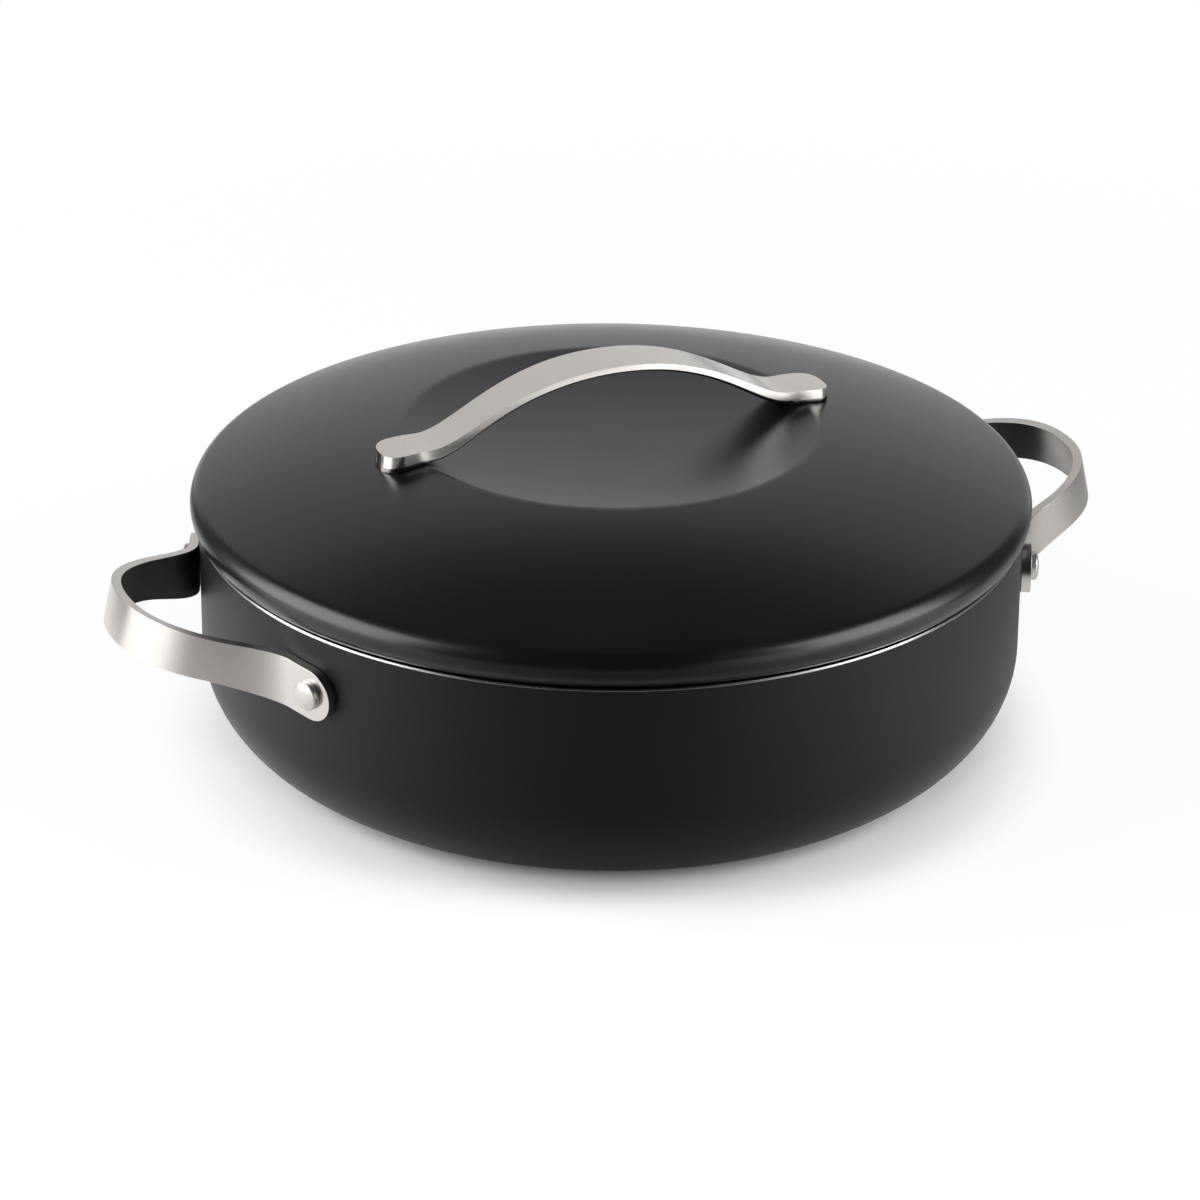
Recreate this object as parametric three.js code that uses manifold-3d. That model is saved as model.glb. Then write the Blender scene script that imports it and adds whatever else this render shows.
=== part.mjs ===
// Saute pan with two riveted side handles and a lift-off lid.
// Millimetres, +Z up. The origin is the middle of the base, on the surface the pan stands on.
// X runs through the two side handles, and -Y is the front.

import * as THREE from 'three';
import { mergeVertices } from 'three/addons/utils/BufferGeometryUtils.js';
import Module from 'manifold-3d';

// Pan body: a pressed aluminium shell with a flat base and a rounded lower corner
const pan_radius = 150;
const pan_height = 86.5;
const wall_thickness = 3;
const base_thickness = 4.5;
const corner_run = 46.3;
const corner_rise = 40;
const rim_bevel = 0.7;

// Clearances between pieces that touch on the real object
const seat_gap = 0.3;
const hole_clearance = 0.3;
const cut_overrun = 12;

// Side handle: one flat steel strap bent to a loop, with a pad at each end
const strap_thickness = 3.5;
const pad_width = 18.6;
const pad_drop = 0.9;
const leg_width = 15.4;
const nose_width = 15.8;
const strap_bevel = 0.6;
const loop_reach = 40.1;
const leg_reach = 19.3;
const leg_half_spacing = 36.8;
const loop_drop = 17.5;
const loop_rise_angle = THREE.MathUtils.degToRad(12.7);
const lean_run = 29;
const rivet_half_spacing = 62.2;
const bend_half_spacing = 53;
const pad_end_beyond_rivet = 9.5;
const pad_exit_length = 9.4;
const leg_slope_share = 0.58;
const leg_entry_share = 0.55;
const nose_entry_share = 0.53;
const nose_flat_share = 0.36;

// Rivets through the pads and the wall
const rivet_shank_radius = 3;
const rivet_head_radius = 5.2;
const rivet_side_height = 1.7;
const rivet_head_height = 3.1;
const rivet_tail_radius = 5;
const rivet_tail_height = 1.7;

// Lid: one pressed sheet with a dished middle, a ring crest, a rolled edge and a locating lip
const lid_overhang = 3;
const lid_sheet = 2;
const bead_radius = 7.4;
const bead_top_angle = THREE.MathUtils.degToRad(22);
const lip_depth = 6;
const lip_clearance = 0.8;
const crest_radius = 75;
const crest_rise = 34;
const crest_slope_share = 0.14;
const crest_half_width = 1.6;
const dish_depth = 5.6;

// Lid handle: a cast steel bow on two feet at the crest, mounted a little to the left of the middle
const bow_shift = -2.8;
const bow_half_length = 87.9;
const bow_rise = 26.4;
const bow_thickness = 2.7;
const foot_thickness = 4.7;
const foot_tip_thickness = 5.5;
const foot_length = 16.8;
const foot_round_run = 11;
const bow_middle_width = 20.6;
const bow_neck_width = 17.3;
const foot_width = 18.4;
const neck_run = 14.4;
const neck_dip = 0.4;
const bow_crown_run = 41;

// Lid screws and washers, fitted from below
const screw_from_foot_tip = 4.8;
const screw_shank_radius = 1.5;
const screw_head_radius = 2.9;
const screw_head_height = 1.9;
const screw_grip_in_foot = 3;
const slot_width = 0.8;
const slot_length = 3.4;
const slot_depth = 0.9;
const washer_radius = 3.5;
const washer_thickness = 0.8;

// How finely round and curved shapes are divided
const round_steps = 72;
const small_round_steps = 16;
const curve_steps = 5;
const weld_share = 1e-6;

// Finishes
const anodised = { color: 0x2a2a2b, roughness: 0.62, metalness: 0.35 };
const lid_black = { color: 0x252526, roughness: 0.42, metalness: 0.35 };
const brushed_steel = { color: 0xb9b7b3, roughness: 0.34, metalness: 1 };
const polished_steel = { color: 0xc8c7c4, roughness: 0.22, metalness: 1 };

// Sizes that follow from the ones above
const inner_radius = pan_radius - wall_thickness;
const loop_height = pan_height - loop_drop;
const crest_height = pan_height + crest_rise;
const bow_top_height = crest_height + bow_rise;
const screw_half_spacing = bow_half_length - screw_from_foot_tip;
const pad_inner_radius = pan_radius + seat_gap;
const pad_face_radius = pad_inner_radius + strap_thickness;
const rivet_angle = Math.asin(rivet_half_spacing / pad_face_radius);
const bend_angle = Math.asin(bend_half_spacing / pad_face_radius);
const rivet_height = strapMiddle(pad_face_radius * Math.cos(rivet_angle));
const bead_centre_radius = pan_radius + lid_overhang - bead_radius;
const rim_corner_inset = inner_radius + rim_bevel - bead_centre_radius;
const bead_centre_height = pan_height + seat_gap + Math.sqrt(bead_radius ** 2 - rim_corner_inset ** 2);
const weld_distance = pan_radius * weld_share;

const wasm = await Module();
wasm.setup();

// A closed mesh with its shared corners joined, as a solid that can be cut and joined
function toSolid(geometry) {
  const plain = geometry.clone();
  plain.deleteAttribute('normal');
  plain.deleteAttribute('uv');
  const welded = mergeVertices(plain, weld_distance);
  const corners = welded.index.array;
  const faces = [];
  for (let i = 0; i < corners.length; i += 3) {
    const [a, b, c] = corners.slice(i, i + 3);
    if (a !== b && b !== c && c !== a) faces.push(a, b, c);
  }
  return new wasm.Manifold(new wasm.Mesh({
    numProp: 3,
    vertProperties: new Float32Array(welded.attributes.position.array),
    triVerts: new Uint32Array(faces),
  }));
}

function toGeometry(solid) {
  const mesh = solid.getMesh();
  const geometry = new THREE.BufferGeometry();
  geometry.setAttribute('position', new THREE.BufferAttribute(mesh.vertProperties, 3));
  geometry.setIndex(new THREE.BufferAttribute(mesh.triVerts, 1));
  geometry.computeVertexNormals();
  return geometry;
}

function namedMesh(name, geometry, finish) {
  const mesh = new THREE.Mesh(geometry, new THREE.MeshStandardMaterial(finish));
  mesh.name = name;
  return mesh;
}

const point = (x, y) => new THREE.Vector2(x, y);

// A profile of (radius, height) points turned about the Z axis
function turned(profile, steps) {
  return new THREE.LatheGeometry(profile, steps).rotateX(Math.PI / 2);
}

// A round bar along Z from one height to another
function bar(radius, from, to) {
  const geometry = new THREE.CylinderGeometry(radius, radius, to - from, small_round_steps);
  return geometry.rotateX(Math.PI / 2).translate(0, 0, (from + to) / 2);
}

// A quarter of an ellipse from its lowest point out to its side
function quarterEllipse(centre_x, centre_y, run, rise, steps) {
  const quarter = new THREE.EllipseCurve(centre_x, centre_y, run, rise, -Math.PI / 2, 0);
  return quarter.getPoints(steps);
}

// One on the pad, at distance x from the Z axis, and falling to nought where the leg reaches its width
function padAmount(x) {
  const pad_x = pad_face_radius * Math.cos(bend_angle);
  return 1 - THREE.MathUtils.smoothstep(x, pad_x, pan_radius + leg_reach);
}

// The height of the strap's middle at distance x: the loop's sloping plane, less the pad's drop
function strapMiddle(x) {
  const plane = loop_height + (x - pan_radius) * Math.tan(loop_rise_angle);
  return plane - pad_drop * padAmount(x);
}

// Places a solid made along Z so that +Z points out of the wall at an angle round the pan
function outward(geometry, angle, distance, height) {
  geometry.rotateY(Math.PI / 2);
  geometry.translate(distance, 0, 0);
  geometry.rotateZ(angle);
  return geometry.translate(0, 0, height);
}

const rivet_places = [
  { name: 'right_front_rivet', angle: -rivet_angle },
  { name: 'right_back_rivet', angle: rivet_angle },
  { name: 'left_front_rivet', angle: Math.PI + rivet_angle },
  { name: 'left_back_rivet', angle: Math.PI - rivet_angle },
];

// The drilling for one rivet, through a pad and the wall
function rivetDrilling(angle) {
  const hole = bar(rivet_shank_radius + hole_clearance, -cut_overrun, cut_overrun);
  return toSolid(outward(hole, angle, pan_radius, rivet_height));
}

function panBody() {
  const centre_x = pan_radius - corner_run;
  const inner_run = corner_run - wall_thickness;
  const inner_rise = corner_rise - base_thickness;
  const outer = quarterEllipse(centre_x, corner_rise, corner_run, corner_rise, 2 * curve_steps);
  const inner = quarterEllipse(centre_x, corner_rise, inner_run, inner_rise, 2 * curve_steps);
  const profile = [
    point(0, 0),
    ...outer,
    point(pan_radius, pan_height - rim_bevel),
    point(pan_radius - rim_bevel, pan_height),
    point(inner_radius + rim_bevel, pan_height),
    point(inner_radius, pan_height - rim_bevel),
    ...inner.reverse(),
    point(0, base_thickness),
  ];
  let body = toSolid(turned(profile, round_steps));
  for (const place of rivet_places) body = body.subtract(rivetDrilling(place.angle));
  return namedMesh('pan_body', toGeometry(body), anodised);
}

// The outer face of the strap seen from above, from one pad's end to the nose and on to the other
function strapFaceLine() {
  const pad_end_angle = rivet_angle + pad_end_beyond_rivet / pad_face_radius;
  const pad = new THREE.EllipseCurve(0, 0, pad_face_radius, pad_face_radius,
    pad_end_angle, bend_angle, true);
  const bend = point(Math.cos(bend_angle), Math.sin(bend_angle)).multiplyScalar(pad_face_radius);
  const along_pad = point(Math.sin(bend_angle), -Math.cos(bend_angle));
  const along_leg = point(1, -leg_slope_share).normalize();
  const leg_end = point(pan_radius + leg_reach, leg_half_spacing);
  const nose = point(pan_radius + loop_reach, 0);
  const leg = new THREE.CubicBezierCurve(
    bend,
    bend.clone().addScaledVector(along_pad, pad_exit_length),
    leg_end.clone().addScaledVector(along_leg, -leg_reach * leg_entry_share),
    leg_end,
  );
  const turn = new THREE.CubicBezierCurve(
    leg_end,
    leg_end.clone().addScaledVector(along_leg, leg_half_spacing * nose_entry_share),
    nose.clone().add(point(0, leg_half_spacing * nose_flat_share)),
    nose,
  );
  const half = [
    ...pad.getPoints(curve_steps),
    ...leg.getPoints(2 * curve_steps).slice(1),
    ...turn.getPoints(2 * curve_steps).slice(1),
  ];
  const mirrored = half.slice(0, -1).reverse().map((p) => point(p.x, -p.y));
  return [...half, ...mirrored];
}

// The same line moved sideways to the strap's inner face
function strapInnerLine(face) {
  return face.map((p, i) => {
    const before = face[Math.max(i - 1, 0)];
    const after = face[Math.min(i + 1, face.length - 1)];
    const along = after.clone().sub(before).normalize();
    return point(p.x + along.y * strap_thickness, p.y - along.x * strap_thickness);
  });
}

// How wide the strap is at distance x from the Z axis
function strapWidth(x) {
  const leg_x = pan_radius + leg_reach;
  if (x < leg_x) return THREE.MathUtils.lerp(leg_width, pad_width, padAmount(x));
  const nose_x = pan_radius + loop_reach;
  return THREE.MathUtils.lerp(leg_width, nose_width, THREE.MathUtils.smoothstep(x, leg_x, nose_x));
}

// Upright pads against the wall, and a loop that rises and leans back as it leaves the wall
function bendStrap(geometry) {
  const places = geometry.attributes.position;
  for (let i = 0; i < places.count; i += 1) {
    const x = places.getX(i);
    const across = places.getZ(i) * strapWidth(x) / pad_width;
    const lean = loop_rise_angle * THREE.MathUtils.smoothstep(x, pan_radius, pan_radius + lean_run);
    places.setX(i, x - across * Math.sin(lean));
    places.setZ(i, strapMiddle(x) + across * Math.cos(lean));
  }
  return geometry;
}

// What is cut away to leave the pad's end round
function padEndCutter(side) {
  const round_radius = pad_width / 2;
  const centre_angle = rivet_angle + (pad_end_beyond_rivet - round_radius) / pad_face_radius;
  const droop = Math.atan(Math.tan(loop_rise_angle) * Math.sin(centre_angle));
  const block = new THREE.BoxGeometry(pad_width, 2 * pad_width, 2 * cut_overrun);
  block.translate(pad_width / 2, 0, 0);
  const round = bar(round_radius, -2 * cut_overrun, 2 * cut_overrun);
  const rest = toSolid(block).subtract(toSolid(round));
  const cutter = toGeometry(rest);
  cutter.rotateZ(Math.PI / 2 - droop);
  if (side < 0) cutter.rotateZ(2 * droop - Math.PI);
  const centre_x = pad_face_radius * Math.cos(centre_angle);
  return toSolid(outward(cutter, side * centre_angle, pad_face_radius, strapMiddle(centre_x)));
}

function sideHandleSolid() {
  const face = strapFaceLine();
  const outline = new THREE.Shape([...face, ...strapInnerLine(face).reverse()]);
  const strap = new THREE.ExtrudeGeometry(outline, {
    depth: pad_width - 2 * strap_bevel,
    bevelThickness: strap_bevel,
    bevelSize: strap_bevel,
    bevelOffset: -strap_bevel,
    bevelSegments: 1,
  });
  strap.translate(0, 0, strap_bevel - pad_width / 2);
  let handle = toSolid(bendStrap(strap));
  for (const side of [-1, 1]) {
    handle = handle.subtract(padEndCutter(side)).subtract(rivetDrilling(side * rivet_angle));
  }
  return handle;
}

function sideHandles() {
  const handles = new THREE.Group();
  const geometry = toGeometry(sideHandleSolid());
  for (const [name, turn] of [['right_side_handle', 0], ['left_side_handle', Math.PI]]) {
    const handle = namedMesh(name, geometry.clone(), brushed_steel);
    handle.rotation.z = turn;
    handles.add(handle);
  }
  return handles;
}

// A rivet along Z: a low domed head outside the pad, a shank, and a formed tail inside the wall
function rivetProfile() {
  const head_base = pad_face_radius - pan_radius + seat_gap;
  const tail_base = -wall_thickness - seat_gap;
  const head_top = head_base + rivet_head_height;
  const tail_top = tail_base - rivet_tail_height;
  const crown = new THREE.QuadraticBezierCurve(
    point(rivet_head_radius, head_base + rivet_side_height),
    point(rivet_head_radius, head_top),
    point(0, head_top),
  );
  const tail = new THREE.QuadraticBezierCurve(
    point(0, tail_top),
    point(rivet_tail_radius, tail_top),
    point(rivet_tail_radius, tail_base),
  );
  return [
    ...tail.getPoints(3),
    point(rivet_shank_radius, tail_base),
    point(rivet_shank_radius, head_base),
    point(rivet_head_radius, head_base),
    ...crown.getPoints(3),
  ];
}

function rivets() {
  const set = new THREE.Group();
  for (const place of rivet_places) {
    const rivet = outward(turned(rivetProfile(), small_round_steps), place.angle, pan_radius, rivet_height);
    set.add(namedMesh(place.name, rivet, polished_steel));
  }
  return set;
}

// The point on the rolled edge's round, at an angle from straight up, on a circle of one radius
function onBead(radius, angle) {
  const out = radius * Math.sin(angle);
  const up = radius * Math.cos(angle);
  return point(bead_centre_radius + out, bead_centre_height + up);
}

// Where two sloping lines meet, each given by a point and its fall per unit of run
function meeting(a, fall_a, b, fall_b) {
  const x = (a.y - b.y + fall_a * a.x - fall_b * b.x) / (fall_a - fall_b);
  return point(x, a.y - fall_a * (x - a.x));
}

// One side of the lid's sheet from the middle to the rolled edge, at a depth below the top side
function lidLine(depth) {
  const top = crest_height - depth;
  const middle = top - dish_depth;
  const crest_in = crest_radius - crest_half_width;
  const dish_slope_share = 2 * dish_depth / crest_radius;
  const dish_edge = point(crest_in, middle + dish_depth * (crest_in / crest_radius) ** 2);
  const dish = new THREE.QuadraticBezierCurve(
    point(0, middle),
    point(crest_in / 2, middle),
    dish_edge,
  );
  const crest_out = point(crest_radius + crest_half_width, top - crest_slope_share * crest_half_width);
  const crest = new THREE.QuadraticBezierCurve(
    dish_edge,
    meeting(dish_edge, -dish_slope_share, crest_out, crest_slope_share),
    crest_out,
  );
  const edge = onBead(bead_radius - depth, bead_top_angle);
  const fall = new THREE.QuadraticBezierCurve(
    crest_out,
    meeting(crest_out, crest_slope_share, edge, Math.tan(bead_top_angle)),
    edge,
  );
  return [
    ...dish.getPoints(3),
    ...crest.getPoints(2).slice(1),
    ...fall.getPoints(curve_steps).slice(1),
  ];
}

// The rolled edge's round from the end of the dome to where the locating lip leaves it
function beadLine(radius, lip_face_radius) {
  const end = Math.PI - Math.asin((lip_face_radius - bead_centre_radius) / radius);
  const line = [];
  for (let i = 1; i <= curve_steps + 1; i += 1) {
    line.push(onBead(radius, bead_top_angle + (end - bead_top_angle) * i / (curve_steps + 1)));
  }
  return line;
}

function lidProfile() {
  const lip_radius = inner_radius - lip_clearance;
  const lip_bottom = pan_height - lip_depth;
  return [
    ...lidLine(lid_sheet),
    ...beadLine(bead_radius - lid_sheet, lip_radius - lid_sheet),
    point(lip_radius - lid_sheet, lip_bottom),
    point(lip_radius, lip_bottom),
    ...beadLine(bead_radius, lip_radius).reverse(),
    ...lidLine(0).reverse(),
  ];
}

// The lid's top side raised by the seating gap, filled down to a flat bottom
function lidEnvelope() {
  const top = lidLine(0).map((p) => point(p.x, p.y + seat_gap)).reverse();
  const floor = pan_height;
  return toSolid(turned([point(0, floor), point(top[0].x, floor), ...top], round_steps));
}

// The height and the outward fall of the lid's top side at one radius
function lidTopAt(radius) {
  const line = lidLine(0);
  const i = line.findIndex((p) => p.x > radius);
  const a = line[i - 1];
  const b = line[i];
  const fall = (a.y - b.y) / (b.x - a.x);
  return { height: a.y - fall * (radius - a.x), fall };
}

// Stands a solid made along Z, with z = 0 on the lid's top side, square to the lid at a screw's place
function onLidScrew(geometry, side) {
  const x = bow_shift + side * screw_half_spacing;
  const place = lidTopAt(Math.abs(x));
  geometry.rotateY(side * Math.atan(place.fall));
  return geometry.translate(x, 0, place.height);
}

function lidShell() {
  let shell = toSolid(turned(lidProfile(), round_steps));
  for (const side of [-1, 1]) {
    const hole = bar(screw_shank_radius + hole_clearance, -cut_overrun / 2, cut_overrun / 2);
    shell = shell.subtract(toSolid(onLidScrew(hole, side)));
  }
  return namedMesh('lid', toGeometry(shell), lid_black);
}

// Half of the bow's side view: the top line from the foot's tip to the crown
function bowTopLine() {
  const tip_height = lidTopAt(bow_half_length).height + seat_gap + foot_tip_thickness;
  const heel = point(bow_half_length - foot_length, crest_height + seat_gap + foot_thickness);
  const foot = new THREE.QuadraticBezierCurve(
    point(bow_half_length, tip_height),
    point(bow_half_length - foot_length / 2, heel.y),
    heel,
  );
  const rise = new THREE.CubicBezierCurve(
    heel,
    point(heel.x - neck_run, heel.y - neck_dip),
    point(bow_crown_run, bow_top_height),
    point(0, bow_top_height),
  );
  return [...foot.getPoints(3), ...rise.getPoints(2 * curve_steps).slice(1)];
}

// Half of the underside, from the crown to the heel and down past the lid
function bowUnderLine() {
  const heel = point(bow_half_length - foot_length, crest_height + seat_gap);
  const crown_height = bow_top_height - bow_thickness;
  const rise = new THREE.CubicBezierCurve(
    point(0, crown_height),
    point(bow_crown_run, crown_height),
    point(heel.x - neck_run, heel.y - neck_dip),
    heel,
  );
  const buried = crest_height - dish_depth - cut_overrun;
  return [
    ...rise.getPoints(2 * curve_steps),
    point(heel.x, buried),
    point(bow_half_length, buried),
  ];
}

// Half of the bow seen from above: widest at the feet, narrowest at the necks
function bowPlanLine() {
  const foot_centre = bow_half_length - foot_round_run;
  const neck = bow_half_length - foot_length - neck_run / 4;
  const middle = new THREE.CubicBezierCurve(
    point(0, bow_middle_width / 2),
    point(neck / 2, bow_middle_width / 2),
    point(neck / 2, bow_neck_width / 2),
    point(neck, bow_neck_width / 2),
  );
  const flare = new THREE.CubicBezierCurve(
    point(neck, bow_neck_width / 2),
    point((neck + foot_centre) / 2, bow_neck_width / 2),
    point((neck + foot_centre) / 2, foot_width / 2),
    point(foot_centre, foot_width / 2),
  );
  const end = new THREE.EllipseCurve(foot_centre, 0, foot_round_run, foot_width / 2, Math.PI / 2, 0, true);
  return [
    ...middle.getPoints(4),
    ...flare.getPoints(4).slice(1),
    ...end.getPoints(curve_steps).slice(1),
  ];
}

// A half line and its mirror image in the Y axis, as one line from +X to -X
function bothHalves(half) {
  const mirrored = half.slice(0, -1).reverse().map((p) => point(-p.x, p.y));
  return [...half, ...mirrored];
}

function lidHandle() {
  const side_view = new THREE.Shape([
    ...bothHalves(bowTopLine()),
    ...bothHalves(bowUnderLine().reverse()).reverse(),
  ]);
  const side_depth = foot_width + cut_overrun;
  const side = new THREE.ExtrudeGeometry(side_view, { depth: side_depth, bevelEnabled: false });
  side.rotateX(Math.PI / 2).translate(bow_shift, side_depth / 2, 0);
  const plan_half = bothHalves(bowPlanLine().reverse());
  const plan_view = new THREE.Shape([
    ...plan_half,
    ...plan_half.slice(1, -1).reverse().map((p) => point(p.x, -p.y)),
  ]);
  const plan = new THREE.ExtrudeGeometry(plan_view, { depth: bow_top_height, bevelEnabled: false });
  plan.translate(bow_shift, 0, cut_overrun);
  let bow = toSolid(side).intersect(toSolid(plan)).subtract(lidEnvelope());
  for (const end of [-1, 1]) {
    const depth = screw_grip_in_foot + 2 * hole_clearance;
    const hole = bar(screw_shank_radius + hole_clearance, -cut_overrun, depth + seat_gap);
    bow = bow.subtract(toSolid(onLidScrew(hole, end)));
  }
  return namedMesh('lid_handle', toGeometry(bow), brushed_steel);
}

// A pan-head screw that points up, with a cross slot in its head
function lidScrew() {
  const head_base = -lid_sheet - washer_thickness - 2 * seat_gap;
  const head_low = head_base - screw_head_height;
  const tip = seat_gap + screw_grip_in_foot;
  const dome = new THREE.QuadraticBezierCurve(
    point(0, head_low),
    point(screw_head_radius, head_low),
    point(screw_head_radius, head_base),
  );
  const profile = [
    ...dome.getPoints(3),
    point(screw_shank_radius, head_base),
    point(screw_shank_radius, tip),
    point(0, tip),
  ];
  let screw = toSolid(turned(profile, small_round_steps));
  for (const [run, across] of [[slot_length, slot_width], [slot_width, slot_length]]) {
    const slot = new THREE.BoxGeometry(run, across, 2 * slot_depth).translate(0, 0, head_low);
    screw = screw.subtract(toSolid(slot));
  }
  return screw;
}

function lidWasher() {
  const top = -lid_sheet - seat_gap;
  const bottom = top - washer_thickness;
  const bore = screw_shank_radius + hole_clearance;
  const profile = [
    point(bore, bottom),
    point(washer_radius, bottom),
    point(washer_radius, top),
    point(bore, top),
    point(bore, bottom),
  ];
  return turned(profile, small_round_steps);
}

function lidFasteners() {
  const set = new THREE.Group();
  for (const [word, side] of [['left', -1], ['right', 1]]) {
    set.add(namedMesh(`lid_screw_${word}`, onLidScrew(toGeometry(lidScrew()), side), polished_steel));
    set.add(namedMesh(`lid_washer_${word}`, onLidScrew(lidWasher(), side), polished_steel));
  }
  return set;
}

const saute_pan = new THREE.Group();
saute_pan.add(panBody(), sideHandles(), rivets(), lidShell(), lidHandle(), lidFasteners());

export default saute_pan;
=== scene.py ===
import bpy
import math
import numpy as np
from mathutils import Matrix, Vector


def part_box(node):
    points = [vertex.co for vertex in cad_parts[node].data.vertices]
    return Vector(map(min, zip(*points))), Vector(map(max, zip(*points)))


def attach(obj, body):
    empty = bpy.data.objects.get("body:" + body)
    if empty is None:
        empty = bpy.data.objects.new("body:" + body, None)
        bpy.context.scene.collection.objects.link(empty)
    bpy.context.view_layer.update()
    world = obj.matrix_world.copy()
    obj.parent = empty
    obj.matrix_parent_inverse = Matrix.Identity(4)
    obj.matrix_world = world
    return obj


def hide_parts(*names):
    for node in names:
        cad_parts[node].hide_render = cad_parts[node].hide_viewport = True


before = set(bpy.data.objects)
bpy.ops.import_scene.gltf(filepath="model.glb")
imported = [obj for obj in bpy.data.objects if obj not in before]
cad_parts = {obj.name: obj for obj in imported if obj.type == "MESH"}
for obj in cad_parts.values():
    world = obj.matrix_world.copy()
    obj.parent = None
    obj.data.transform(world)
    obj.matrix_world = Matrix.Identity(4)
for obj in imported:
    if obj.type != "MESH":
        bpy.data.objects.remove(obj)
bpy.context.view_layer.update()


# The pan body is a pressed aluminium shell, hard anodised to a near black satin. Its wall is
# straight, its lower corner is round, its base is flat, and its rim is turned off to bare metal.
# It is drawn up ring by ring, from the base round the corner and over the rim to the floor inside.
pan_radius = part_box("pan_body")[1][0]
pan_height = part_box("pan_body")[1][2]
wall_thickness = 0.003
base_thickness = 0.0045
corner_run = 0.0463
corner_rise = 0.04
rim_bevel = 0.0007
turned_ring_spacing = 0.0016
ring_sides = 192
corner_steps = 20


def deselect_all():
    bpy.ops.object.select_all(action="DESELECT")


def start_ring(name, radius, height, sides):
    """Adds a round edge and leaves it selected in edit mode, ready to be drawn out."""
    deselect_all()
    bpy.ops.mesh.primitive_circle_add(vertices=sides, radius=radius, location=(0, 0, height))
    piece = bpy.context.object
    piece.name = piece.data.name = name
    bpy.ops.object.transform_apply(location=True, rotation=True, scale=True)
    bpy.ops.object.mode_set(mode="EDIT")
    bpy.ops.mesh.select_mode(type="EDGE")
    bpy.ops.mesh.select_all(action="SELECT")
    return piece


def draw_out(start, rings):
    """Extrudes the selected round edge through each (radius, height) in turn."""
    radius, height = start
    for next_radius, next_height in rings:
        bpy.ops.mesh.extrude_region_move(
            TRANSFORM_OT_translate={"value": (0, 0, next_height - height)})
        share = next_radius / radius
        bpy.ops.transform.resize(value=(share, share, 1), center_override=(0, 0, next_height))
        radius, height = next_radius, next_height


def close_ends():
    """Fills the open round edges at both ends of what has been drawn out."""
    bpy.ops.mesh.edge_face_add()
    bpy.ops.mesh.select_all(action="DESELECT")
    bpy.ops.mesh.select_non_manifold()
    bpy.ops.mesh.edge_face_add()


def finish_shape(piece, smooth_angle=30):
    """Turns all faces outwards, leaves edit mode and shades what is round as smooth."""
    bpy.ops.mesh.select_all(action="SELECT")
    bpy.ops.mesh.normals_make_consistent(inside=False)
    bpy.ops.object.mode_set(mode="OBJECT")
    deselect_all()
    piece.select_set(True)
    bpy.context.view_layer.objects.active = piece
    bpy.ops.object.shade_smooth_by_angle(angle=math.radians(smooth_angle))


def corner_rings(run, rise):
    """The rings of the round lower corner, from the flat base out to the wall."""
    rings = []
    for step in range(1, corner_steps + 1):
        angle = math.pi / 2 * step / corner_steps
        rings.append((pan_radius - corner_run + run * math.sin(angle),
                      corner_rise - rise * math.cos(angle)))
    return rings


flat_base = (pan_radius - corner_run, 0)
inner_radius = pan_radius - wall_thickness
inner_corner = corner_rings(corner_run - wall_thickness, corner_rise - base_thickness)
pan_body = start_ring("pan_shell_body", *flat_base, ring_sides)
draw_out(flat_base, [
    *corner_rings(corner_run, corner_rise),
    (pan_radius, pan_height - rim_bevel),
    (pan_radius - rim_bevel, pan_height),
    (inner_radius + rim_bevel, pan_height),
    (inner_radius, pan_height - rim_bevel),
    *reversed(inner_corner),
    (pan_radius - corner_run, base_thickness),
])
close_ends()
finish_shape(pan_body)


class Wire:
    """One shader value, on which arithmetic is written as Python expressions."""

    def __init__(self, tree, socket):
        self.tree = tree
        self.socket = socket

    def maths(self, operation, first, second=0.0):
        return self.tree.node("ShaderNodeMath", {"operation": operation}, {0: first, 1: second})

    def __add__(self, other):
        return self.maths("ADD", self, other)

    def __radd__(self, other):
        return self.maths("ADD", other, self)

    def __sub__(self, other):
        return self.maths("SUBTRACT", self, other)

    def __rsub__(self, other):
        return self.maths("SUBTRACT", other, self)

    def __mul__(self, other):
        return self.maths("MULTIPLY", self, other)

    def __truediv__(self, other):
        return self.maths("DIVIDE", self, other)

    def __pow__(self, other):
        return self.maths("POWER", self, other)

    def greatest(self, other):
        return self.maths("MAXIMUM", self, other)

    def rise(self, low, high):
        """Nought below low and one above high, with a soft step between."""
        return self.tree.node("ShaderNodeMapRange", {"interpolation_type": "SMOOTHSTEP"},
                              {"Value": self, "From Min": low, "From Max": high})


class Nodes:
    """A node tree that grows one call at a time."""

    def __init__(self, tree):
        self.nodes = tree.nodes
        self.links = tree.links

    def node(self, kind, settings=None, values=None, output=0):
        added = self.nodes.new(kind)
        for name, value in (settings or {}).items():
            if name == "stops":
                ramp = added.color_ramp.elements
                while len(ramp) < len(value):
                    ramp.new(1.0)
                for stop, (position, colour) in zip(ramp, value):
                    stop.position = position
                    stop.color = colour
            else:
                setattr(added, name, value)
        for name, value in (values or {}).items():
            if isinstance(value, Wire):
                self.links.new(value.socket, added.inputs[name])
            else:
                added.inputs[name].default_value = value
        return Wire(self, added.outputs[output])

    def axes(self, place):
        """The three numbers of a place or a direction."""
        return [self.node("ShaderNodeSeparateXYZ", {}, {0: place}, axis) for axis in range(3)]

    def blend(self, share, first, second):
        """A colour that goes from first to second as share goes from nought to one."""
        return self.node("ShaderNodeMix", {"data_type": "RGBA"}, {0: share, 6: first, 7: second}, 2)


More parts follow.
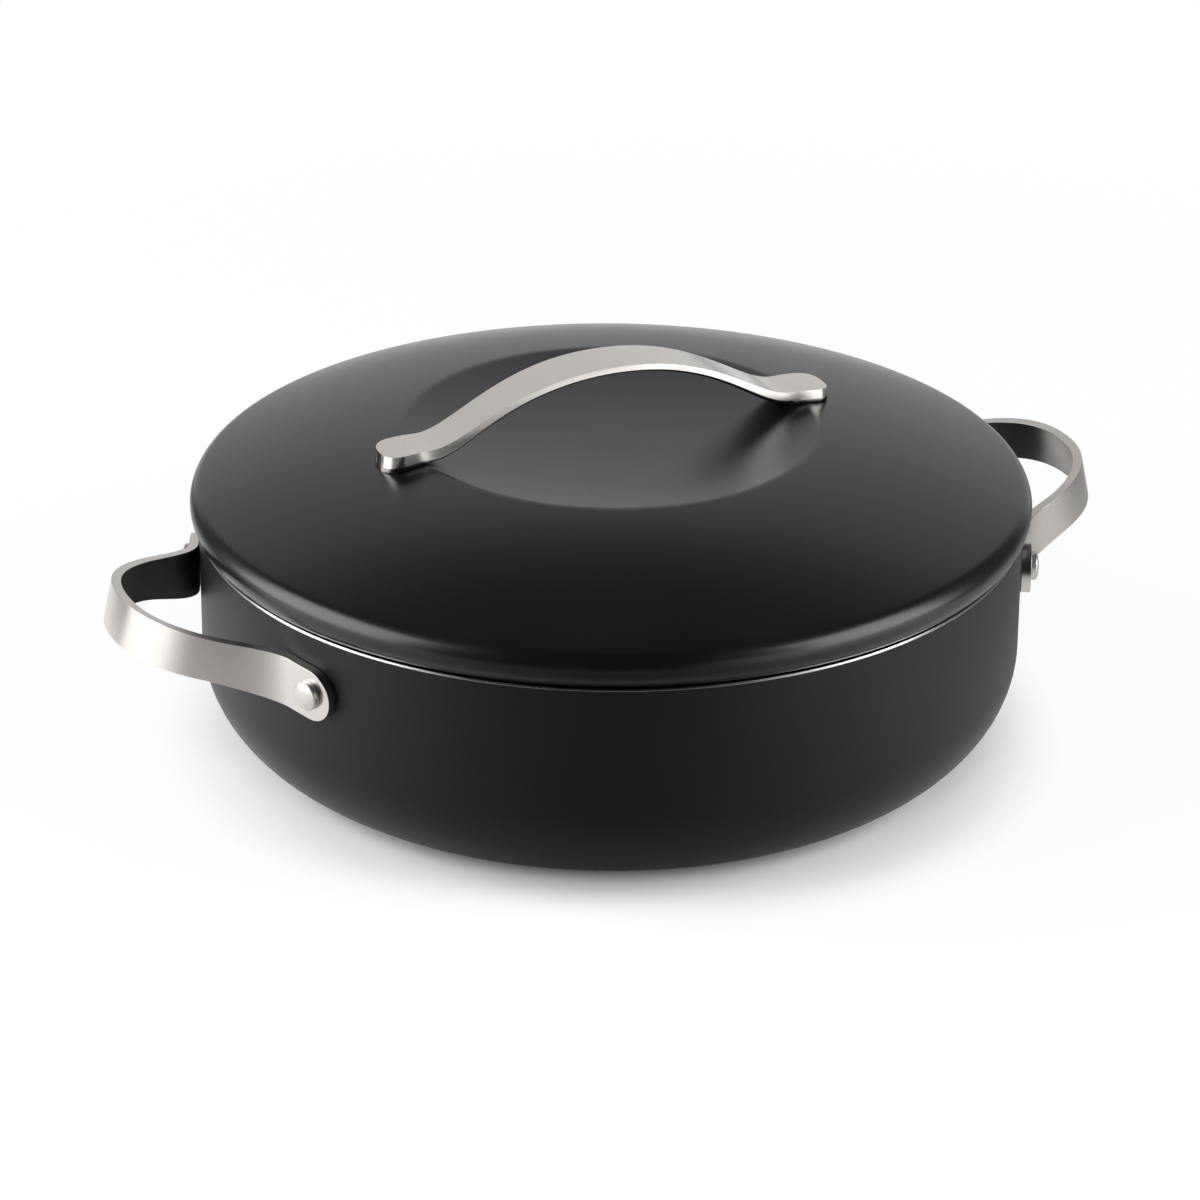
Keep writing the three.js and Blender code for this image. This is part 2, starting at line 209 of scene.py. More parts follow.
class Finish(Nodes):
    """A material, with the values that are the same all over it given by their socket's name."""

    def __init__(self, name, **constants):
        self.material = bpy.data.materials.new(name)
        self.material.use_nodes = True
        super().__init__(self.material.node_tree)
        self.surface = self.nodes["Principled BSDF"]
        for socket_name, value in constants.items():
            self.surface.inputs[socket_name.replace("_", " ")].default_value = value
        self.place = self.node("ShaderNodeTexCoord", output="Object")

    def noise(self, scale, detail=2.0, stretch=(1, 1, 1), roughness=0.5):
        place = self.node("ShaderNodeMapping", {}, {"Vector": self.place, "Scale": stretch})
        return self.node("ShaderNodeTexNoise", {}, {
            "Vector": place, "Scale": scale, "Detail": detail, "Roughness": roughness})

    def feed(self, **wires):
        for name, wire in wires.items():
            self.links.new(wire.socket, self.surface.inputs[name.replace("_", " ")])

    def bump(self, height, distance, strength=1.0):
        self.feed(Normal=self.node("ShaderNodeBump", {},
                                   {"Height": height, "Distance": distance, "Strength": strength}))


def grey(level, warmth=0.0):
    return (level * (1 + warmth), level, level * (1 - warmth), 1)


def anodised_finish():
    """Hard anodised aluminium: a fine even grain, turned rings underneath, and a bare metal rim."""
    finish = Finish("hard_anodised", Specular_IOR_Level=0.25)
    x, y, z = finish.axes(finish.place)
    grain = finish.noise(1400, 3.0)
    cloud = finish.noise(14, 2.0)
    speckle = finish.noise(5200, 1.0)
    rim_edge = pan_height - rim_bevel
    bare = z.rise(rim_edge + 0.0001, rim_edge + 0.0003)
    turning = finish.noise(60, 1.0, (1, 1, 60))
    underside = 1 - z.rise(0.0002, 0.0006)
    ring_angle = (x * x + y * y) ** 0.5 * (2 * math.pi / turned_ring_spacing)
    rings = ring_angle.maths("SINE", ring_angle) * underside
    dark = finish.blend(cloud.rise(0.3, 0.7), grey(0.0032, 0.01), grey(0.0045, 0.015))
    specks = finish.blend(speckle.rise(0.62, 0.78) * 0.3, dark, grey(0.022, 0.02))
    finish.feed(
        Base_Color=finish.blend(bare, specks, grey(0.60, 0.01)),
        Metallic=bare,
        Roughness=0.40 + grain * 0.08 + cloud * 0.04 - bare * 0.26 + bare * turning * 0.08,
    )
    finish.bump(grain * 0.4 + speckle * 0.3 + rings * 0.5, 0.00003, 0.35)
    return finish.material


pan_body.data.materials.append(anodised_finish())
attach(pan_body, "pan")
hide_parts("pan_body")


# The side handles are flat stainless steel straps, 3.5 mm thick, bent to a loop that rises a little
# as it leaves the wall. Each end is a pad with a round tip that lies on the wall under its rivet.
# One edge is drawn along the strap's line, given its thickness and fine bevels, and copied.
strap_thickness = 0.0035
strap_bevel = 0.0007
seat_gap = 0.0003
pad_face_radius = pan_radius + seat_gap + strap_thickness
pad_width = 0.0186
pad_drop = 0.0009
leg_width = 0.0154
nose_width = 0.0158
loop_reach = 0.0401
leg_reach = 0.0193
leg_half_spacing = 0.0368
loop_drop = 0.0175
loop_height = pan_height - loop_drop
rise_angle = math.radians(12.7)
lean_run = 0.029
rivet_half_spacing = 0.0622
bend_half_spacing = 0.053
rivet_angle = math.asin(rivet_half_spacing / pad_face_radius)
bend_angle = math.asin(bend_half_spacing / pad_face_radius)
pad_end_beyond_rivet = 0.0095
pad_exit_length = 0.0094
leg_slope_share = 0.58
leg_entry_length = 0.0106
nose_entry_length = 0.0195
nose_flat_length = 0.01325
tip_steps = 10
pad_steps = 6


def bezier(points, steps):
    """Points along a Bezier curve of three or four control points."""
    order = len(points) - 1
    line = []
    for step in range(steps + 1):
        share = step / steps
        weights = [math.comb(order, k) * share ** k * (1 - share) ** (order - k)
                   for k in range(order + 1)]
        parts = [weight * Vector(point) for weight, point in zip(weights, points)]
        line.append(sum(parts, Vector((0, 0))))
    return line


def soft_step(value, low, high):
    share = min(max((value - low) / (high - low), 0), 1)
    return share * share * (3 - 2 * share)


def pad_amount(x):
    """One on the pad, falling to nought where the leg reaches its width."""
    return 1 - soft_step(x, pad_face_radius * math.cos(bend_angle), pan_radius + leg_reach)


def strap_height(x):
    """The height of the strap's middle: its sloping plane, less the pad's drop."""
    return loop_height + (x - pan_radius) * math.tan(rise_angle) - pad_drop * pad_amount(x)


def strap_stations():
    """Where the strap's outer face runs, as (x, y, width), from one pad's tip to the other's."""
    tip_angle = rivet_angle + pad_end_beyond_rivet / pad_face_radius
    tip_radius = pad_width / 2
    half = []
    for step in range(tip_steps + 1):
        turn = math.pi / 2 * step / tip_steps
        along = tip_radius * (1 - math.cos(turn)) / pad_face_radius
        width = 2 * tip_radius * math.sin(turn)
        angle = tip_angle - along
        half.append((pad_face_radius * math.cos(angle), pad_face_radius * math.sin(angle),
                     max(width, 0.1 * tip_radius)))
    start = tip_angle - tip_radius / pad_face_radius
    for step in range(1, pad_steps + 1):
        angle = start + (bend_angle - start) * step / pad_steps
        half.append((pad_face_radius * math.cos(angle), pad_face_radius * math.sin(angle),
                     pad_width))
    bend = Vector((math.cos(bend_angle), math.sin(bend_angle))) * pad_face_radius
    along_pad = Vector((math.sin(bend_angle), -math.cos(bend_angle)))
    along_leg = Vector((1, -leg_slope_share)).normalized()
    leg_end = Vector((pan_radius + leg_reach, leg_half_spacing))
    nose = Vector((pan_radius + loop_reach, 0))
    leg = bezier([bend, bend + along_pad * pad_exit_length,
                  leg_end - along_leg * leg_entry_length, leg_end], 16)
    turn = bezier([leg_end, leg_end + along_leg * nose_entry_length,
                   nose + Vector((0, nose_flat_length)), nose], 20)
    for place in leg[1:] + turn[1:]:
        if place.x < leg_end.x:
            width = leg_width + (pad_width - leg_width) * pad_amount(place.x)
        else:
            share = soft_step(place.x, leg_end.x, nose.x)
            width = leg_width + (nose_width - leg_width) * share
        half.append((place.x, place.y, width))
    return half + [(x, -y, width) for x, y, width in reversed(half[:-1])]


def bend_strap(name):
    stations = strap_stations()
    x, y, width = stations[0]
    deselect_all()
    bpy.ops.mesh.primitive_plane_add(size=1, location=(0, 0, 0))
    strap = bpy.context.object
    strap.name = strap.data.name = name
    bpy.ops.object.mode_set(mode="EDIT")
    bpy.ops.mesh.select_mode(type="VERT")
    bpy.ops.mesh.select_all(action="SELECT")
    bpy.ops.transform.resize(value=(0, 1, 1))
    bpy.ops.mesh.remove_doubles(threshold=0.001)
    bpy.ops.transform.rotate(value=math.pi / 2, orient_axis="X", center_override=(0, 0, 0))
    bpy.ops.transform.resize(value=(1, 1, width))
    bpy.ops.transform.translate(value=(x, y, strap_height(x)))
    lean = 0
    for next_x, next_y, next_width in stations[1:]:
        here = (x, y, strap_height(x))
        there = (next_x, next_y, strap_height(next_x))
        step = [b - a for a, b in zip(here, there)]
        bpy.ops.mesh.extrude_region_move(TRANSFORM_OT_translate={"value": step})
        bpy.ops.transform.resize(value=(next_width / width,) * 3, center_override=there)
        next_lean = rise_angle * soft_step(next_x, pan_radius, pan_radius + lean_run)
        bpy.ops.transform.rotate(value=next_lean - lean, orient_axis="Y", center_override=there)
        x, y, width, lean = next_x, next_y, next_width, next_lean
    bpy.ops.mesh.select_all(action="SELECT")
    bpy.ops.mesh.normals_make_consistent(inside=False)
    bpy.ops.object.mode_set(mode="OBJECT")
    return strap


def apply_modifiers(piece):
    deselect_all()
    piece.select_set(True)
    bpy.context.view_layer.objects.active = piece
    for modifier in list(piece.modifiers):
        bpy.ops.object.modifier_apply(modifier=modifier.name)


def keep_faces_flat(piece, smooth_angle=35):
    """Shades the round edges as smooth, and leaves the broad faces between them unbent."""
    deselect_all()
    piece.select_set(True)
    bpy.context.view_layer.objects.active = piece
    bpy.ops.object.shade_smooth_by_angle(angle=math.radians(smooth_angle))
    even = piece.modifiers.new("even", "WEIGHTED_NORMAL")
    even.keep_sharp = True
    apply_modifiers(piece)


right_strap = bend_strap("side_handle_strap_right")
middle_face = min(right_strap.data.polygons, key=lambda face: abs(face.center.y))
faces_out = middle_face.normal.x > 0
thicken = right_strap.modifiers.new("thickness", "SOLIDIFY")
thicken.thickness = strap_thickness
thicken.offset = -1 if faces_out else 1
thicken.use_even_offset = True
edges = right_strap.modifiers.new("edges", "BEVEL")
edges.width = strap_bevel
edges.segments = 4
edges.limit_method = "ANGLE"
edges.angle_limit = math.radians(50)
apply_modifiers(right_strap)
bpy.ops.object.mode_set(mode="EDIT")
finish_shape(right_strap, 35)
keep_faces_flat(right_strap)


def steel_finish(name, brush_scale, brush_stretch, gloss, tone):
    """Stainless steel with a fine brushed grain that runs along the piece."""
    finish = Finish(name, Metallic=1.0)
    brush = finish.noise(brush_scale, 3.0, brush_stretch, 0.6)
    wear = finish.noise(45, 3.0)
    finish.feed(
        Base_Color=finish.blend(brush.rise(0.25, 0.75), grey(tone * 0.94, 0.055),
                                grey(tone * 1.03, 0.045)),
        Roughness=gloss + brush * 0.05 + wear * 0.04,
    )
    finish.bump(brush, 0.00001, 0.2)
    return finish.material


strap_steel = steel_finish("strap_steel", 380, (1, 1, 14), 0.19, 0.56)
right_strap.data.materials.append(strap_steel)


def turned_copy(piece, name, angle):
    """A copy with its own mesh, turned about the upright axis through the origin."""
    deselect_all()
    piece.select_set(True)
    bpy.context.view_layer.objects.active = piece
    bpy.ops.object.duplicate(linked=False)
    copy = bpy.context.object
    copy.name = copy.data.name = name
    copy.rotation_euler = (0, 0, angle)
    bpy.ops.object.transform_apply(location=True, rotation=True, scale=True)
    return copy


left_strap = turned_copy(right_strap, "side_handle_strap_left", math.pi)
for strap, node in [(right_strap, "right_side_handle"), (left_strap, "left_side_handle")]:
    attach(strap, "pan")
    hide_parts(node)


# The rivets are turned stainless steel pins with a low round head outside the pad. Their tails are
# set against the inside of the wall. Each is drawn out ring by ring and turned to its place.
rivet_shank_radius = 0.003
head_radius = 0.0052
head_height = 0.0031
head_round = 0.0007
head_crown = 0.0007
head_seat_edge = 0.0002
tail_radius = 0.005
tail_height = 0.0017
rivet_height = strap_height(pad_face_radius * math.cos(rivet_angle))
rivet_sides = 64


def rivet_rings():
    head_base = pad_face_radius - pan_radius
    crown_base = head_base + head_height - head_crown
    tail_base = -wall_thickness
    tail_round = [(tail_radius * math.sin(math.radians(angle)),
                   tail_base - tail_height * math.cos(math.radians(angle)))
                  for angle in range(12, 91, 13)]
    head_edge = [(head_radius - head_round + head_round * math.cos(math.radians(angle)),
                  crown_base - head_round + head_round * math.sin(math.radians(angle)))
                 for angle in range(0, 91, 18)]
    return [
        *tail_round,
        (rivet_shank_radius, tail_base),
        (rivet_shank_radius, head_base),
        (head_radius - head_seat_edge, head_base),
        (head_radius, head_base + head_seat_edge),
        *head_edge,
        (head_radius * 0.7, crown_base + head_crown * 0.55),
        (head_radius * 0.35, crown_base + head_crown * 0.9),
    ]


def place_rivet(name, angle):
    rings = rivet_rings()
    rivet = start_ring(name, *rings[0], rivet_sides)
    draw_out(rings[0], rings[1:])
    close_ends()
    finish_shape(rivet, 40)
    outward = Matrix.Rotation(angle, 4, "Z") @ Matrix.Translation((pan_radius, 0, rivet_height))
    rivet.matrix_world = outward @ Matrix.Rotation(math.pi / 2, 4, "Y")
    bpy.ops.object.transform_apply(location=True, rotation=True, scale=True)
    return rivet


rivet_steel = steel_finish("rivet_steel", 900, (1, 1, 1), 0.33, 0.54)
rivet_angles = {
    "right_front_rivet": -rivet_angle,
    "right_back_rivet": rivet_angle,
    "left_front_rivet": math.pi + rivet_angle,
    "left_back_rivet": math.pi - rivet_angle,
}
for node, angle in rivet_angles.items():
    rivet = place_rivet(node + "_fine", angle)
    rivet.data.materials.append(rivet_steel)
    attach(rivet, "pan")
    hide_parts(node)


# The lid is one pressed aluminium sheet, anodised black. Its middle is a shallow dish inside a
# ring crest, its outer part falls away as a dome, and its edge is rolled to a bead with a lip that
# goes down inside the rim. It is drawn out ring by ring, over the top and back underneath.
lid_overhang = 0.003
lid_radius = pan_radius + lid_overhang
lid_sheet = 0.002
bead_radius = 0.0074
bead_top_angle = math.radians(22)
lip_depth = 0.006
lip_clearance = 0.0008
crest_radius = 0.075
crest_height = pan_height + 0.034
crest_slope_share = 0.14
crest_half_width = 0.0016
dish_depth = 0.0056
dish_power = 2.4
dish_steps = 20
bead_centre_radius = lid_radius - bead_radius
rim_corner_inset = inner_radius + rim_bevel - bead_centre_radius
bead_centre_height = pan_height + seat_gap + math.sqrt(bead_radius ** 2 - rim_corner_inset ** 2)
lip_radius = inner_radius - lip_clearance


def on_bead(radius, angle):
    return (bead_centre_radius + radius * math.sin(angle),
            bead_centre_height + radius * math.cos(angle))


def meeting(first, first_fall, second, second_fall):
    """Where two sloping lines meet, each given by a point and its fall per unit of run."""
    x = ((first[1] - second[1] + first_fall * first[0] - second_fall * second[0])
         / (first_fall - second_fall))
    return (x, first[1] - first_fall * (x - first[0]))


def lid_line(depth):
    """One side of the sheet from near the middle to the bead, at a depth below the top side."""
    top = crest_height - depth
    middle = top - dish_depth
    crest_in = crest_radius - crest_half_width
    crest_out = (crest_radius + crest_half_width, top - crest_slope_share * crest_half_width)
    dish_radii = [crest_in * step / dish_steps for step in range(1, dish_steps + 1)]
    dish = [(radius, middle + dish_depth * (radius / crest_radius) ** dish_power)
            for radius in dish_radii]
    dish_slope = dish_power * dish_depth / crest_radius
    crest_top = meeting(dish[-1], -dish_slope, crest_out, crest_slope_share)
    edge = on_bead(bead_radius - depth, bead_top_angle)
    knee = meeting(crest_out, crest_slope_share, edge, math.tan(bead_top_angle))
    crest = [tuple(p) for p in bezier([dish[-1], crest_top, crest_out], 6)]
    fall = [tuple(p) for p in bezier([crest_out, knee, edge], 24)]
    return dish + crest[1:] + fall[1:]


def bead_line(radius, lip_face_radius, steps=22):
    end = math.pi - math.asin((lip_face_radius - bead_centre_radius) / radius)
    return [on_bead(radius, bead_top_angle + (end - bead_top_angle) * step / steps)
            for step in range(1, steps + 1)]


lid_top = lid_line(0)
lid_rings = [
    *lid_top,
    *bead_line(bead_radius, lip_radius),
    (lip_radius, pan_height - lip_depth),
    (lip_radius - lid_sheet, pan_height - lip_depth),
    *reversed(bead_line(bead_radius - lid_sheet, lip_radius - lid_sheet)),
    *reversed(lid_line(lid_sheet)),
]
lid = start_ring("lid_shell_pressed", *lid_rings[0], ring_sides)
draw_out(lid_rings[0], lid_rings[1:])
close_ends()
finish_shape(lid)


def lid_finish():
    """Anodised black with a low, even sheen and a very fine grain."""
    finish = Finish("lid_anodised_black", Specular_IOR_Level=0.45)
    grain = finish.noise(1900, 3.0)
    cloud = finish.noise(11, 2.0)
    finish.feed(
        Base_Color=finish.blend(cloud.rise(0.3, 0.7), grey(0.0020, 0.01), grey(0.0030, 0.01)),
        Roughness=0.25 + grain * 0.04 + cloud * 0.03,
    )
    finish.bump(grain, 0.00001, 0.2)
    return finish.material


lid.data.materials.append(lid_finish())
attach(lid, "covering_lid")
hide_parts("lid")


# The lid handle is a cast and polished stainless steel bow. It rises from two feet with round ends
# on the lid's crest, and it thins towards its crown. A section is drawn along it from foot to foot.
# Its top edges are crisp, and its sides curve under along their lower third.
bow_shift = -0.0028
bow_half_length = 0.0879
bow_top_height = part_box("lid_handle")[1][2]
bow_thickness = 0.0027
foot_thickness = 0.0047
foot_tip_thickness = 0.0055
foot_length = 0.0168
foot_round_run = 0.0085
foot_round_power = 2.6
bow_middle_width = 0.0206
bow_neck_width = 0.0173
foot_width = 0.0184
neck_run = 0.0144
neck_dip = 0.0004
bow_crown_run = 0.041
top_face_share = 0.96
foot_tip_draft = 0.0007
draft_steps = 6
side_round_width_share = 0.06
side_round_height_share = 0.36
side_round_steps = 8
arm_steps = 56
bow_heel = bow_half_length - foot_length
foot_centre = bow_half_length - foot_round_run


def height_along(line, x):
    """The height of a line of (x, height) points at one x."""
    ordered = sorted((p[0], p[1]) for p in line)
    return float(np.interp(x, [p[0] for p in ordered], [p[1] for p in ordered]))


def bow_lines():
    """The bow's top and underside seen from the side, from its crown to one heel or tip."""
    heel = (bow_heel, crest_height + seat_gap)
    heel_top = (bow_heel, heel[1] + foot_thickness)
    tip = (bow_half_length, height_along(lid_top, bow_half_length) + seat_gap + foot_tip_thickness)
    foot = bezier([tip, (bow_half_length - foot_length / 2, heel_top[1]), heel_top], 12)
    rise = bezier([heel_top, (bow_heel - neck_run, heel_top[1] - neck_dip),
                   (bow_crown_run, bow_top_height), (0, bow_top_height)], 48)
    under_height = bow_top_height - bow_thickness
    under = bezier([heel, (bow_heel - neck_run, heel[1] - neck_dip),
                    (bow_crown_run, under_height), (0, under_height)], 48)
    return foot + rise, under


def bow_plan():
    """Half the bow's width from its crown to where the end of the foot begins to round."""
    neck = bow_heel - neck_run / 4
    middle = bezier([(0, bow_middle_width / 2), (neck / 2, bow_middle_width / 2),
                     (neck / 2, bow_neck_width / 2), (neck, bow_neck_width / 2)], 24)
    flare = bezier([(neck, bow_neck_width / 2), ((neck + foot_centre) / 2, bow_neck_width / 2),
                    ((neck + foot_centre) / 2, foot_width / 2), (foot_centre, foot_width / 2)], 12)
    return middle + flare


bow_top, bow_under = bow_lines()
bow_widths = bow_plan()


def bow_section(x):
    """The half width, top and bottom of the bow at a distance from its own middle."""
    out = abs(x)
    half_width = height_along(bow_widths, out)
    if out > foot_centre:
        past = (out - foot_centre) / foot_round_run
        half_width *= (1 - past ** foot_round_power) ** (1 / foot_round_power)
    bottom = height_along(bow_under, out)
    if out > bow_heel:
        bottom = height_along(lid_top, abs(x + bow_shift))
    return half_width, height_along(bow_top, out), bottom


half_places = [foot_centre * step / arm_steps for step in range(1, arm_steps)]
for turn in range(0, 85, 6):
    past = math.sin(math.radians(turn)) ** (2 / foot_round_power)
    half_places.append(foot_centre + foot_round_run * past)
bow_places = [-x for x in reversed(half_places)] + [0] + half_places
x = bow_places[0]
half_width, top, bottom = bow_section(x)
deselect_all()
bpy.ops.mesh.primitive_plane_add(size=1, location=(0, 0, 0), rotation=(0, math.pi / 2, 0))
bow = bpy.context.object
bow.name = bow.data.name = "lid_handle_bow"
bpy.ops.object.transform_apply(location=True, rotation=True, scale=True)
bpy.ops.object.mode_set(mode="EDIT")
bpy.ops.mesh.select_mode(type="VERT")
bpy.ops.mesh.select_all(action="DESELECT")
bpy.ops.object.mode_set(mode="OBJECT")
for corner in bow.data.vertices:
    corner.select = corner.co.z < 0
bpy.ops.object.mode_set(mode="EDIT")
flatness = side_round_width_share / side_round_height_share
bpy.ops.transform.resize(value=(1, 1, flatness), center_override=(0, 0, 0.5))
bpy.ops.mesh.bevel(offset=side_round_width_share, segments=side_round_steps, affect="VERTICES")
bpy.ops.mesh.select_mode(type="FACE")
bpy.ops.mesh.select_all(action="SELECT")
bpy.ops.transform.translate(value=(0, 0, flatness / 2 - 0.5))
bpy.ops.transform.resize(value=(1, 2 * half_width, (top - bottom) / flatness),
                         center_override=(0, 0, 0))
bpy.ops.transform.translate(value=(x, 0, (top + bottom) / 2))
for next_x in bow_places[1:]:
    next_half_width, next_top, next_bottom = bow_section(next_x)
    there = (next_x, 0, (next_top + next_bottom) / 2)
    step = (next_x - x, 0, there[2] - (top + bottom) / 2)
    bpy.ops.mesh.extrude_region_move(TRANSFORM_OT_translate={"value": step})
    bpy.ops.transform.resize(center_override=there, value=(
        1, next_half_width / half_width, (next_top - next_bottom) / (top - bottom)))
    x, half_width, top, bottom = next_x, next_half_width, next_top, next_bottom
bpy.ops.mesh.select_all(action="SELECT")
bpy.ops.mesh.normals_make_consistent(inside=False)


def on_top_face(corner):
    """Whether a corner of the bow lies above the part of its sides that curves under."""
    top, bottom = bow_section(min(max(corner.x, -bow_half_length), bow_half_length))[1:]
    return corner.z > top - (1 - side_round_height_share) / 2 * (top - bottom)


def pick_edges(piece, wanted):
    """Selects the edges whose two ends both pass the test."""
    bpy.ops.mesh.select_all(action="DESELECT")
    bpy.ops.mesh.select_mode(type="EDGE")
    bpy.ops.object.mode_set(mode="OBJECT")
    picked = [wanted(corner.co) for corner in piece.data.vertices]
    for edge in piece.data.edges:
        edge.select = all(picked[i] for i in edge.vertices)
    bpy.ops.object.mode_set(mode="EDIT")


pick_edges(bow, on_top_face)
bpy.ops.transform.resize(value=(1, top_face_share, 1), center_override=(0, 0, 0))
step_share = 1 - 2 * foot_tip_draft / (draft_steps + 1) / foot_round_run
for side in (-1, 1):
    for step in range(draft_steps):
        start = foot_centre + foot_round_run * step / draft_steps
        pick_edges(bow, lambda corner: side * corner.x > start and on_top_face(corner))
        bpy.ops.transform.resize(value=(step_share, 1, 1), center_override=(side * start, 0, 0))
bpy.ops.mesh.select_all(action="SELECT")
bpy.ops.transform.translate(value=(bow_shift, 0, 0))
bpy.ops.object.mode_set(mode="OBJECT")
keep_faces_flat(bow)

bow_steel = steel_finish("bow_steel", 420, (1, 12, 12), 0.12, 0.63)
bow.data.materials.append(bow_steel)
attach(bow, "covering_lid")
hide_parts("lid_handle")


# Two pan-head steel screws come up through the lid into the feet of the bow, each with a flat
# washer under its head. They are turned from bar, and a cross slot is pressed into each head.
screw_from_foot_tip = 0.0048
screw_half_spacing = bow_half_length - screw_from_foot_tip
screw_shank_radius = 0.0015
screw_head_radius = 0.0029
screw_head_height = 0.0019
screw_grip_in_foot = 0.003
slot_width = 0.0008
slot_length = 0.0034
slot_depth = 0.0009
washer_radius = 0.0035
washer_thickness = 0.0008
washer_edge = 0.0001
bore_clearance = 0.0002
fastener_sides = 48


def turn_screw(name):
    head_base = -lid_sheet - washer_thickness
    head_low = head_base - screw_head_height
    dome = [(screw_head_radius * math.sin(math.radians(angle)),
             head_base - screw_head_height * math.cos(math.radians(angle)))
            for angle in range(6, 91, 7)]
    rings = [*dome, (screw_head_radius, head_base), (screw_shank_radius, head_base),
             (screw_shank_radius, seat_gap + screw_grip_in_foot)]
    screw = start_ring(name, *rings[0], fastener_sides)
    draw_out(rings[0], rings[1:])
    close_ends()
    finish_shape(screw)
    for long_way in [(slot_length, slot_width), (slot_width, slot_length)]:
        deselect_all()
        bpy.ops.mesh.primitive_cube_add(size=1, location=(0, 0, head_low))
        slot = bpy.context.object
        slot.scale = (*long_way, 2 * slot_depth)
        bpy.ops.object.transform_apply(location=True, rotation=True, scale=True)
        pressing = screw.modifiers.new("slot", "BOOLEAN")
        pressing.operation = "DIFFERENCE"
        pressing.object = slot
        apply_modifiers(screw)
        bpy.data.objects.remove(slot)
    return screw


def press_washer(name):
    top = -lid_sheet
    bottom = top - washer_thickness
    bore = screw_shank_radius + bore_clearance
    rings = [(bore, bottom),
             (washer_radius - washer_edge, bottom), (washer_radius, bottom + washer_edge),
             (washer_radius, top - washer_edge), (washer_radius - washer_edge, top),
             (bore, top), (bore, bottom)]
    washer = start_ring(name, *rings[0], fastener_sides)
    draw_out(rings[0], rings[1:])
    bpy.ops.mesh.select_all(action="SELECT")
    bpy.ops.mesh.remove_doubles(threshold=0.000001)
    finish_shape(washer)
    return washer


def lid_fall(radius):
    """How far the lid's top side falls per unit of run at one radius."""
    run = 0.0005
    return (height_along(lid_top, radius - run) - height_along(lid_top, radius + run)) / (2 * run)


for side, word in [(-1, "left"), (1, "right")]:
    x = bow_shift + side * screw_half_spacing
    stand = Matrix.Translation((x, 0, height_along(lid_top, abs(x))))
    stand = stand @ Matrix.Rotation(side * math.atan(lid_fall(abs(x))), 4, "Y")
    for make, node in [(turn_screw, "lid_screw_" + word), (press_washer, "lid_washer_" + word)]:
        fastener = make(node + "_fine")
        deselect_all()
        fastener.select_set(True)
        bpy.context.view_layer.objects.active = fastener
        fastener.matrix_world = stand
        bpy.ops.object.transform_apply(location=True, rotation=True, scale=True)
        fastener.data.materials.append(rivet_steel)
        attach(fastener, "covering_lid")
        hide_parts(node)


# The floor is a plain white sweep that keeps the pan's shadow. Far from the pan the camera sees it
# as white by itself, as a lit backdrop is. In reflections its light is painted: painted pools of
# light beside, behind and close round the pan, and painted shade in front.
camera_turn = math.radians(23.54)
right = Vector((math.cos(camera_turn), -math.sin(camera_turn), 0))
away = Vector((math.sin(camera_turn), math.cos(camera_turn), 0))
upright = Vector((0, 0, 1))


def bearing(degrees_left):
    """The level direction at an angle to the left of the one towards the camera."""
    angle = math.radians(degrees_left)
    return -away * math.cos(angle) - right * math.sin(angle)


def share_along(place, direction):
    """How nearly a place lies in a level direction from the middle, from -1 to 1."""
    x, y, z = place
    return (x * direction.x + y * direction.y) / ((x * x + y * y) ** 0.5)


def paint_stage():
    finish = Finish("studio_white")
    camera_sees, mirror_sees, glass_sees = [
        finish.node("ShaderNodeLightPath", output=kind)
        for kind in ["Is Camera Ray", "Is Glossy Ray", "Is Transmission Ray"]]
    place = finish.axes(finish.place)
    reach = (place[0] * place[0] + place[1] * place[1]) ** 0.5
    ahead = share_along(place, bearing(3))
    # Painted light on the floor, seen only in reflections: brighter beside the pan towards the soft
    # boxes and behind it, with painted shade in front.
    painted_light_beside = ahead.rise(-0.10, 0.01) * (1 - ahead.rise(0.62, 0.92))
    painted_light_left = share_along(place, bearing(88)).greatest(0.0) ** 2
    painted_light_right = share_along(place, bearing(-78)).greatest(0.0) ** 3
    painted_light_behind = share_along(place, bearing(180)).greatest(0.0) ** 4
    # A painted pool of light close round the foot of the pan, seen only in reflections.
    under = 1 - reach.rise(0.15, 0.24)
    close_painted_light = 0.17 + painted_light_left * 1.25 + painted_light_right + painted_light_behind * 0.8 + under * 0.25
    wide_painted_light = 0.25 + painted_light_beside * 1.15 + (1 - ahead.rise(-0.85, -0.7)) * 1.2
    wide = reach.rise(0.3, 0.55)
    # How bright the painted light on the floor is, blended from near the pan to far from it.
    tone = close_painted_light * (1 - wide) + wide_painted_light * wide
    cloth = finish.node("ShaderNodeBsdfDiffuse", {}, {"Color": grey(0.9)})
    shade = finish.node("ShaderNodeBsdfDiffuse", {}, {"Color": grey(0.0)})
    light = finish.node("ShaderNodeBsdfDiffuse", {}, {"Color": grey(2.0)})
    # Reflections see the floor between black and a doubly bright white by this painted light and
    # shade.
    mirrored = finish.node("ShaderNodeMixShader", {}, {0: tone * 0.5, 1: shade, 2: light})
    lit = finish.node("ShaderNodeBsdfDiffuse", {}, {"Color": grey(1.05)})
    white = finish.node("ShaderNodeEmission", {}, {"Color": grey(1.0), "Strength": 1.0})
    far = reach.rise(0.13, 0.172) * 0.9 + reach.rise(0.3, 0.8) * 0.1
    sweep = finish.node("ShaderNodeMixShader", {}, {0: far, 1: lit, 2: white})
    others = finish.node("ShaderNodeMixShader", {},
                         {0: mirror_sees.greatest(glass_sees), 1: cloth, 2: mirrored})
    both = finish.node("ShaderNodeMixShader", {}, {0: camera_sees, 1: others, 2: sweep})
    finish.links.new(both.socket, finish.nodes["Material Output"].inputs["Surface"])
    return finish.material


floor_size = 16
floor_drop = 0.0002
deselect_all()
bpy.ops.mesh.primitive_plane_add(size=floor_size, location=(0, 0, -floor_drop))
floor = bpy.context.object
floor.name = "studio_floor"
floor.data.materials.append(paint_stage())


